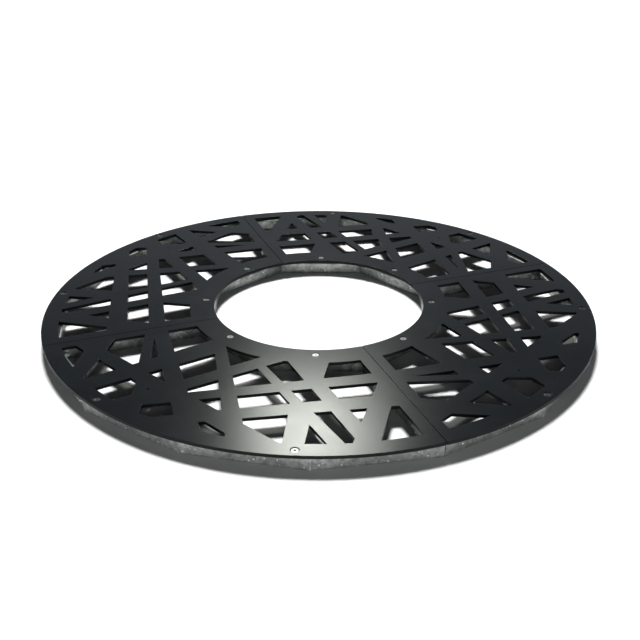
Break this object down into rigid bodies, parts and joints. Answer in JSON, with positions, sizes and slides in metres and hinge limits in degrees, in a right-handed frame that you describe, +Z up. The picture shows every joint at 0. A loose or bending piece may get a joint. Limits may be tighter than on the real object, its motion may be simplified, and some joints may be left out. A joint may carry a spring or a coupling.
{
  "type": "tree grate",
  "caption": "Round perforated steel tree grate in quarter panels, screwed down on a bolted galvanised frame, with a round opening for the trunk.",
  "frame": {"origin": "on the tree's axis, at the frame's underside", "axes": "+Z up along the tree; the joints between the panels run parallel to X and Y"},
  "size_m": [1.8, 1.8, 0.052],
  "materials": {
    "powder_coat": "satin anthracite powder coat on steel plate",
    "galvanised_steel": "hot-dip galvanised, matt grey with soft spangle",
    "stainless_steel": "plain stainless steel",
    "zinc_plated_steel": "zinc plated",
    "bearing_rubber": "matt black"
  },
  "bodies": {
    "root": {"outer_tube_a1": "galvanised_steel", "outer_tube_a2": "galvanised_steel", "outer_tube_a3": "galvanised_steel", "outer_tube_a4": "galvanised_steel", "outer_tube_b1": "galvanised_steel", "outer_tube_b2": "galvanised_steel", "outer_tube_b3": "galvanised_steel", "outer_tube_b4": "galvanised_steel", "outer_tube_c1": "galvanised_steel", "outer_tube_c2": "galvanised_steel", "outer_tube_c3": "galvanised_steel", "outer_tube_c4": "galvanised_steel", "outer_tube_d1": "galvanised_steel", "outer_tube_d2": "galvanised_steel", "outer_tube_d3": "galvanised_steel", "outer_tube_d4": "galvanised_steel", "inner_tube_a1": "galvanised_steel", "inner_tube_a2": "galvanised_steel", "inner_tube_b1": "galvanised_steel", "inner_tube_b2": "galvanised_steel", "inner_tube_c1": "galvanised_steel", "inner_tube_c2": "galvanised_steel", "inner_tube_d1": "galvanised_steel", "inner_tube_d2": "galvanised_steel", "end_tube_a": "galvanised_steel", "end_tube_b": "galvanised_steel", "end_tube_c": "galvanised_steel", "end_tube_d": "galvanised_steel", "end_flat_a": "galvanised_steel", "end_flat_b": "galvanised_steel", "end_flat_c": "galvanised_steel", "end_flat_d": "galvanised_steel", "threaded_inserts_a": "stainless_steel", "threaded_inserts_b": "stainless_steel", "threaded_inserts_c": "stainless_steel", "threaded_inserts_d": "stainless_steel", "outer_strip_a": "bearing_rubber", "outer_strip_b": "bearing_rubber", "outer_strip_c": "bearing_rubber", "outer_strip_d": "bearing_rubber", "inner_strip_a": "bearing_rubber", "inner_strip_b": "bearing_rubber", "inner_strip_c": "bearing_rubber", "inner_strip_d": "bearing_rubber", "end_strips_a": "bearing_rubber", "end_strips_b": "bearing_rubber", "end_strips_c": "bearing_rubber", "end_strips_d": "bearing_rubber", "panel_a": "powder_coat", "panel_b": "powder_coat", "panel_c": "powder_coat", "panel_d": "powder_coat", "panel_screws_a": "stainless_steel", "panel_screws_b": "stainless_steel", "panel_screws_c": "stainless_steel", "panel_screws_d": "stainless_steel", "joint_bolts": "zinc_plated_steel", "joint_washers": "zinc_plated_steel", "joint_nuts": "zinc_plated_steel"}
  },
  "joints": []
}
